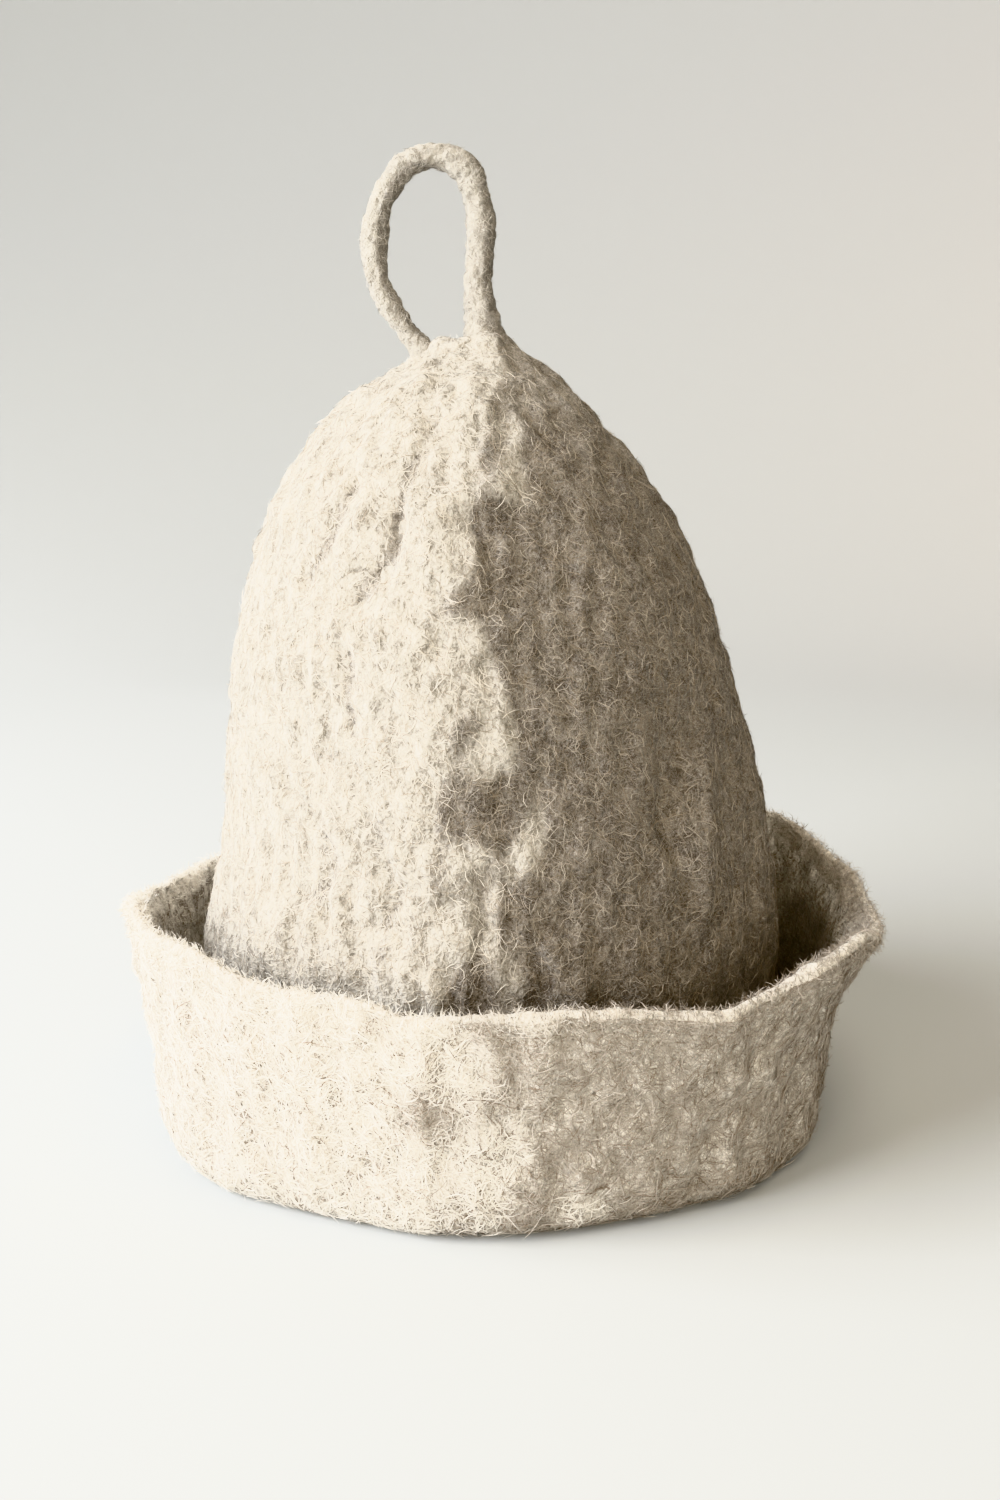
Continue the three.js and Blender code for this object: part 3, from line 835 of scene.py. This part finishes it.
class Finish:
    """A material under way: its nodes are added by their type, and its shader last."""

    def __init__(self, name):
        self.material = bpy.data.materials.new(name)
        self.material.use_nodes = True
        self.tree = self.material.node_tree
        self.tree.nodes.clear()

    def node(self, kind, settings=None, sockets=None, out=0):
        return add_node(self.tree, kind, settings, sockets, out)

    def places(self, turn=(0, 0, 0), scale=(1, 1, 1)):
        """Object coordinates in millimetres, turned and stretched."""
        at = self.node("ShaderNodeTexCoord", out="Object")
        sockets = {"Vector": at, "Rotation": turn, "Scale": [share / MILLIMETRE for share in scale]}
        return self.node("ShaderNodeMapping", {"vector_type": "POINT"}, sockets)

    def noise(self, at, size, detail=2.0, roughness=0.5, distortion=0.0):
        """Noise whose lumps are about this many millimetres wide."""
        sockets = {"Vector": at, "Scale": 1.0 / size, "Detail": detail, "Roughness": roughness,
                   "Distortion": distortion}
        return self.node("ShaderNodeTexNoise", None, sockets)

    def value(self, name):
        return self.node("ShaderNodeAttribute", {"attribute_name": name}, out="Fac")

    def mix(self, share, first, second):
        """One colour at share 0 and the other at 1. The colours' sockets are the sixth and seventh."""
        return self.node("ShaderNodeMix", {"data_type": "RGBA"}, {0: share, 6: first, 7: second}, out=2)

    def bump(self, height, strength, distance):
        return self.node("ShaderNodeBump", None, {"Height": height, "Strength": strength, "Distance": distance})

    def shader(self, sockets):
        shader = self.node("ShaderNodeBsdfPrincipled", None, sockets)
        output = self.tree.nodes.new("ShaderNodeOutputMaterial")
        self.tree.links.new(shader.socket, output.inputs["Surface"])
        return self.material


def tint(red, green, blue):
    return (red, green, blue, 1.0)


# Sizes of the wool's mottling and relief, in millimetres, and how far its blotches and stripes are drawn out upwards
CLOUD, STRIPE, BLOTCH, LUMP, FLECK, SPECK = 26, 7.5, 5.4, 4.7, 1.9, 0.8
BLOTCH_SQUEEZE = 0.68
STRIPE_SQUEEZE = 0.22

# Fibres: the size of the noise that they are drawn from, how far it is stretched along them, for each direction
# its turn and a shift that makes it its own, and how wide they are as a share of the noise's range
FIBRE = 1.6
FIBRE_STRETCH = 5.0
LIGHT_FIBRES = [((0.3, 0.2, 0.1), 0.0), ((0.2, 1.2, 0.9), 31.0), ((1.3, 0.4, 2.1), 67.0)]
DARK_FIBRES = ((2.2, 0.7, 0.4), 101.0)
LIGHT_FIBRE_WIDTH = 0.035
DARK_FIBRE_WIDTH = 0.03

# The relief's strength and its depth in metres
BUMP_STRENGTH = 0.9
BUMP_DEPTH = 0.0017


def strands(finish, turn, shift, width):
    """Fine curly lines: where a stretched, distorted noise passes its middle value."""
    at = finish.places(turn, (1.0, 1.0 / FIBRE_STRETCH, 1.0))
    at = finish.node("ShaderNodeVectorMath", {"operation": "ADD"}, {0: at, 1: (shift, 0, 0)})
    field = finish.noise(at, FIBRE, 1.5, 0.5, 1.2)
    return 1 - abs(field - 0.5).between(0.0, width)


def felt_finish(name, marks, deep, wool, fleece, brown_deep_and_shade, brown_wool_and_shade, pale_deep, pale_wool):
    """Heathered wool felt: wool of two shades in blotches, brown flecks, light curly fibres in three directions,
    dark ones in a fourth, and a pebbled, hairy relief. Two values lead over to the browner wool of the crown's front,
    which also carries painted shade on the sides away from the window, in the creases and on the loop's shaded faces,
    and to the paler, finer wool of the brim, which also carries painted light on its rim, lip and shaded front. marks
    is how strongly flecks and fibres show."""
    finish = Finish(name)
    at = finish.places()
    tall = finish.places(scale=(1.0, 1.0, BLOTCH_SQUEEZE))
    striped = finish.places(scale=(1.0, 1.0, STRIPE_SQUEEZE))
    pale_and_painted_light = finish.value("pale_and_painted_light")
    brown_and_painted_shade = finish.value("umber_and_painted_shade")
    cloud = finish.noise(at, CLOUD, 2.0, 0.5)
    stripe = finish.noise(striped, STRIPE, 1.5, 0.5).between(0.66, 0.46)
    blotch = finish.noise(tall, BLOTCH, 3.0, 0.58, 0.9)
    lump = finish.noise(tall, LUMP, 1.2, 0.45, 0.5)
    fleck = finish.noise(at, FLECK, 2.5, 0.65, 0.5)
    speck = finish.noise(at, SPECK, 1.0, 0.5)
    first, second, third = [strands(finish, turn, shift, LIGHT_FIBRE_WIDTH) for turn, shift in LIGHT_FIBRES]
    lines = (first + second + third) * 0.6
    dark_lines = strands(finish, *DARK_FIBRES, DARK_FIBRE_WIDTH)

    heather = (blotch * 0.62 + fleck * 0.38).between(0.37, 0.61)
    # Share of the browner wool's tones, which also carry the painted shade
    ragged = (brown_and_painted_shade + (cloud - 0.5) * 0.7 + (blotch - 0.5) * 0.9).between(0.15, 0.85)
    crown_deep = finish.mix(ragged, deep, brown_deep_and_shade)
    crown_wool = finish.mix(ragged, wool, brown_wool_and_shade)
    crown_tone = finish.mix(heather * (0.45 + cloud), crown_deep, crown_wool)
    # Where the value of paler wool passes 1, the painted light of rim, lip and front makes the tone paler still
    brim_share = 0.04 + heather * (0.35 + stripe * 0.5 + cloud * 0.4) + (pale_and_painted_light - 1) * 0.8
    brim_tone = finish.mix(brim_share, pale_deep, pale_wool)
    tone = finish.mix(pale_and_painted_light, crown_tone, brim_tone)
    # Dark flecks, stronger on the browner wool and its painted shade
    dark = fleck.between(0.50, 0.34) * (0.27 + brown_and_painted_shade * 0.5) + dark_lines * (0.1 + pale_and_painted_light * 0.33)
    tone = finish.mix(dark * marks, tone, brown_deep_and_shade)
    # Light fibres, stronger on the paler wool and its painted light
    light = lines * (0.26 + pale_and_painted_light * 0.5 - brown_and_painted_shade * 0.05) * marks
    tone = finish.mix(light, tone, fleece)

    height = lump * (2.3 + pale_and_painted_light * 0.2) + fleck * (1.0 + pale_and_painted_light * 0.5 + brown_and_painted_shade * 0.3)
    height = height + speck * 0.5 + lines * 0.12
    return finish.shader({
        "Base Color": tone,
        "Roughness": 0.96,
        "Specular IOR Level": 0.12,
        "Sheen Weight": 0.15,
        "Sheen Roughness": 0.6,
        "Normal": finish.bump(height, BUMP_STRENGTH, BUMP_DEPTH),
    })


def hair_finish(name, dark, light):
    """Single wool hairs, each of its own shade between two."""
    finish = Finish(name)
    tone = finish.mix(finish.value("tone"), dark, light)
    return finish.shader({"Base Color": tone, "Roughness": 0.8, "Specular IOR Level": 0.15})


crown_finish = felt_finish(
    "heathered wool felt",
    marks=1.0,
    deep=tint(0.24, 0.217, 0.18),
    wool=tint(0.51, 0.477, 0.425),
    fleece=tint(0.90, 0.86, 0.79),
    # Tones of the browner wool, which also carry the painted shade
    brown_deep_and_shade=tint(0.068, 0.054, 0.042),
    brown_wool_and_shade=tint(0.16, 0.137, 0.11),
    pale_deep=tint(0.20, 0.165, 0.13),
    pale_wool=tint(0.92, 0.872, 0.797),
)
loop_finish = felt_finish(
    "rolled wool cord",
    marks=0.12,
    deep=tint(0.25, 0.228, 0.195),
    wool=tint(0.50, 0.468, 0.415),
    fleece=tint(0.62, 0.595, 0.55),
    # Tones of the browner wool, which also carry the painted shade
    brown_deep_and_shade=tint(0.075, 0.064, 0.053),
    brown_wool_and_shade=tint(0.14, 0.122, 0.103),
    pale_deep=tint(0.36, 0.335, 0.295),
    pale_wool=tint(0.66, 0.63, 0.58),
)
crown_hair = hair_finish("loose wool hairs", tint(0.20, 0.165, 0.125), tint(0.82, 0.77, 0.69))
loop_hair = hair_finish("loose hairs of the cord", tint(0.12, 0.10, 0.08), tint(0.52, 0.49, 0.44))
pale_hair = hair_finish("loose pale wool hairs", tint(0.16, 0.12, 0.085), tint(1.0, 0.97, 0.91))


# Pieces

def dress(piece, material, slot, *nodes):
    """Gives a piece its material and its body, and hides the solids that it stands for. Its slot is not used."""
    piece.data.materials.append(material)
    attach(piece, "root")
    if nodes:
        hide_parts(*nodes)


# Where the hairs stand: the trough's rows, the brim's outer face above its turn, and the rim with three rows
# on either side
trough_rows = (CROWN_ROWS, len(outer_felt) - 1)
brim_face = slice(HOLLOW_ROWS + BEND_ROWS + 2, None)
brim_felt, brim_ways = inner_felt[brim_face], -inner_ways[brim_face]
brim_rows = (0, len(brim_felt) - 1)
rim_felt = np.concatenate([outer_felt[-3:], rim_rings, inner_felt[-3:][::-1]])
rim_out_ways = np.concatenate([outer_ways[-3:], rim_ways, -inner_ways[-3:][::-1]])
rim_rows = (0, len(rim_felt) - 1)

# Widths of a fine hair, a strong one and one of the cord
FINE = (0.09, 0.18)
STRONG = (0.13, 0.26)
THIN = (0.07, 0.14)

dress(crown_and_brim(), crown_finish, "wool_felt", "crown_and_brim")
dress(hanging_loop(), loop_finish, "loop_felt", "hanging_loop")
dress(hairs("wool_on_crown", outer_felt, outer_ways, (3, CROWN_ROWS), count=39000, seed=11,
            length=(3, 7), width=FINE, lift=(0.05, 1.6), light=0.55, depth=0.3), crown_hair, "wool_felt")
dress(hairs("wool_on_brim", brim_felt, brim_ways, brim_rows, count=39000, seed=13,
            length=(4, 9), width=STRONG, lift=(0.1, 2.2), light=0.85, depth=0.7), pale_hair, "wool_felt")
dress(hairs("wool_on_brim_curls", brim_felt, brim_ways, brim_rows, count=39000, seed=16,
            length=(3, 6), width=STRONG, lift=(0.1, 1.2), light=0.8, depth=0.4), pale_hair, "wool_felt")
dress(hairs("wool_on_rim", rim_felt, rim_out_ways, rim_rows, count=14000, seed=17,
            length=(2, 5), width=STRONG, lift=(0.8, 3.4), light=0.96, depth=0.4, few=1.5), pale_hair, "wool_felt")
dress(hairs("wool_in_trough", outer_felt, outer_ways, trough_rows, count=8000, seed=14,
            length=(3, 7), width=FINE, lift=(0.05, 1.5), light=0.6), crown_hair, "wool_felt")
dress(hairs("wool_on_loop", loop_points, loop_ways, (8, LOOP_STEPS - 8), count=4500, seed=15,
            length=(2, 4.5), width=THIN, lift=(0.05, 1.2), light=0.9), loop_hair, "loop_felt")


# Floor and backdrop: one bowl, flat in the middle, that turns up into a round wall. Its first ring, the reach of the
# flat, the turn's radius, the wall's lowest and highest ring, the rings of each, and the degrees between its columns
FIRST_RING = 20
FLOOR_REACH = 800
FLOOR_TURN = 1500
WALL_FOOT = 1700
WALL_TOP = 3000
FLOOR_RINGS = 20
TURN_RINGS = 48
WALL_RINGS = 6
BOWL_STEP = 3


def bowl():
    """A profile turned round the upright axis: flat, then a quarter turn, then an upright wall."""
    turn = steps(TURN_RINGS)[1:] * math.pi / 2
    flat = np.linspace(FIRST_RING, FLOOR_REACH, FLOOR_RINGS)
    reach = np.concatenate([flat, FLOOR_REACH + FLOOR_TURN * np.sin(turn), [FLOOR_REACH + FLOOR_TURN] * WALL_RINGS])
    wall = np.linspace(WALL_FOOT, WALL_TOP, WALL_RINGS)
    height = np.concatenate([np.zeros(FLOOR_RINGS), FLOOR_TURN * (1 - np.cos(turn)), wall])
    angle = np.radians(np.arange(0, FULL_TURN, BOWL_STEP))
    rings = np.stack([np.outer(reach, np.cos(angle)), np.outer(reach, np.sin(angle)),
                      np.outer(height, np.ones(len(angle)))], -1)
    rows, columns = rings.shape[:2]
    points = np.concatenate([rings.reshape(-1, 3), [[0, 0, 0]]])
    fours = grid_faces(rows, columns)[:, ::-1]
    return make_piece("studio_floor", points, fours, fan(np.arange(columns), rows * columns, True))


floor = bowl()
floor.data.materials.append(Finish("studio floor").shader({
    "Base Color": tint(0.415, 0.43, 0.435), "Roughness": 0.9, "Specular IOR Level": 0.2}))


# Light and camera

def soft_light(name, place, aim, width, height, power, colour):
    """A rectangle of light at a place that looks at an aim, in metres and watts."""
    lamp = bpy.data.lights.new(name, "AREA")
    lamp.shape = "RECTANGLE"
    lamp.size = width
    lamp.size_y = height
    lamp.energy = power
    lamp.color = colour
    light = bpy.data.objects.new(name, lamp)
    way = np.subtract(aim, place)
    flat = math.hypot(way[0], way[1])
    light.location = place
    light.rotation_euler = (math.atan2(flat, -way[2]), 0, math.atan2(way[1], way[0]) - math.pi / 2)
    light.visible_camera = False
    bpy.context.scene.collection.objects.link(light)


# A large window on the left gives the light and the soft shadow to the right. Two small lights are for the backdrop
# alone. The ceiling and the room fill the shade with warmer light from above and from the front.
soft_light("window", (-1.14, -0.34, 0.66), (0, 0, 0.12), 1.35, 1.1, 71, (0.98, 0.985, 1.0))
soft_light("backdrop", (-0.1, 0.75, 1.5), (-0.2, 2.1, 0.6), 1.6, 0.8, 9.0, (1.0, 0.99, 0.97))
soft_light("warm wall", (1.0, 0.6, 0.9), (1.5, 1.8, 0.4), 0.6, 0.6, 4.0, (1.0, 0.58, 0.30))
soft_light("ceiling", (0.5, -0.2, 2.4), (0.3, 0, 0), 1.6, 1.6, 38, (1.0, 0.86, 0.66))
soft_light("room", (-0.15, -1.4, 0.4), (0.05, 0, 0.04), 1.2, 0.7, 20, (1.0, 0.89, 0.72))

world = bpy.data.worlds.new("room")
world.use_nodes = True
world.node_tree.nodes["Background"].inputs["Color"].default_value = tint(1.0, 0.99, 0.97)
world.node_tree.nodes["Background"].inputs["Strength"].default_value = 0.14
bpy.context.scene.world = world
bpy.context.scene.view_settings.view_transform = "Khronos PBR Neutral"

# The view: how far the camera stands to the right of the felt's axis, before it and above the floor,
# and how many degrees it looks down
VIEW_ASIDE = 2.7
VIEW_DISTANCE = 525
VIEW_HEIGHT = 233
VIEW_DOWN = 12.8
LENS = 38.4
SENSOR = 36

lens = bpy.data.cameras.new("camera")
lens.lens = LENS
lens.sensor_width = SENSOR
camera = bpy.data.objects.new("camera", lens)
camera.location = (np.array([VIEW_ASIDE, -VIEW_DISTANCE, VIEW_HEIGHT]) + SHIFT) * MILLIMETRE
camera.rotation_euler = (math.radians(90 - VIEW_DOWN), 0, 0)
bpy.context.scene.collection.objects.link(camera)
bpy.context.scene.camera = camera
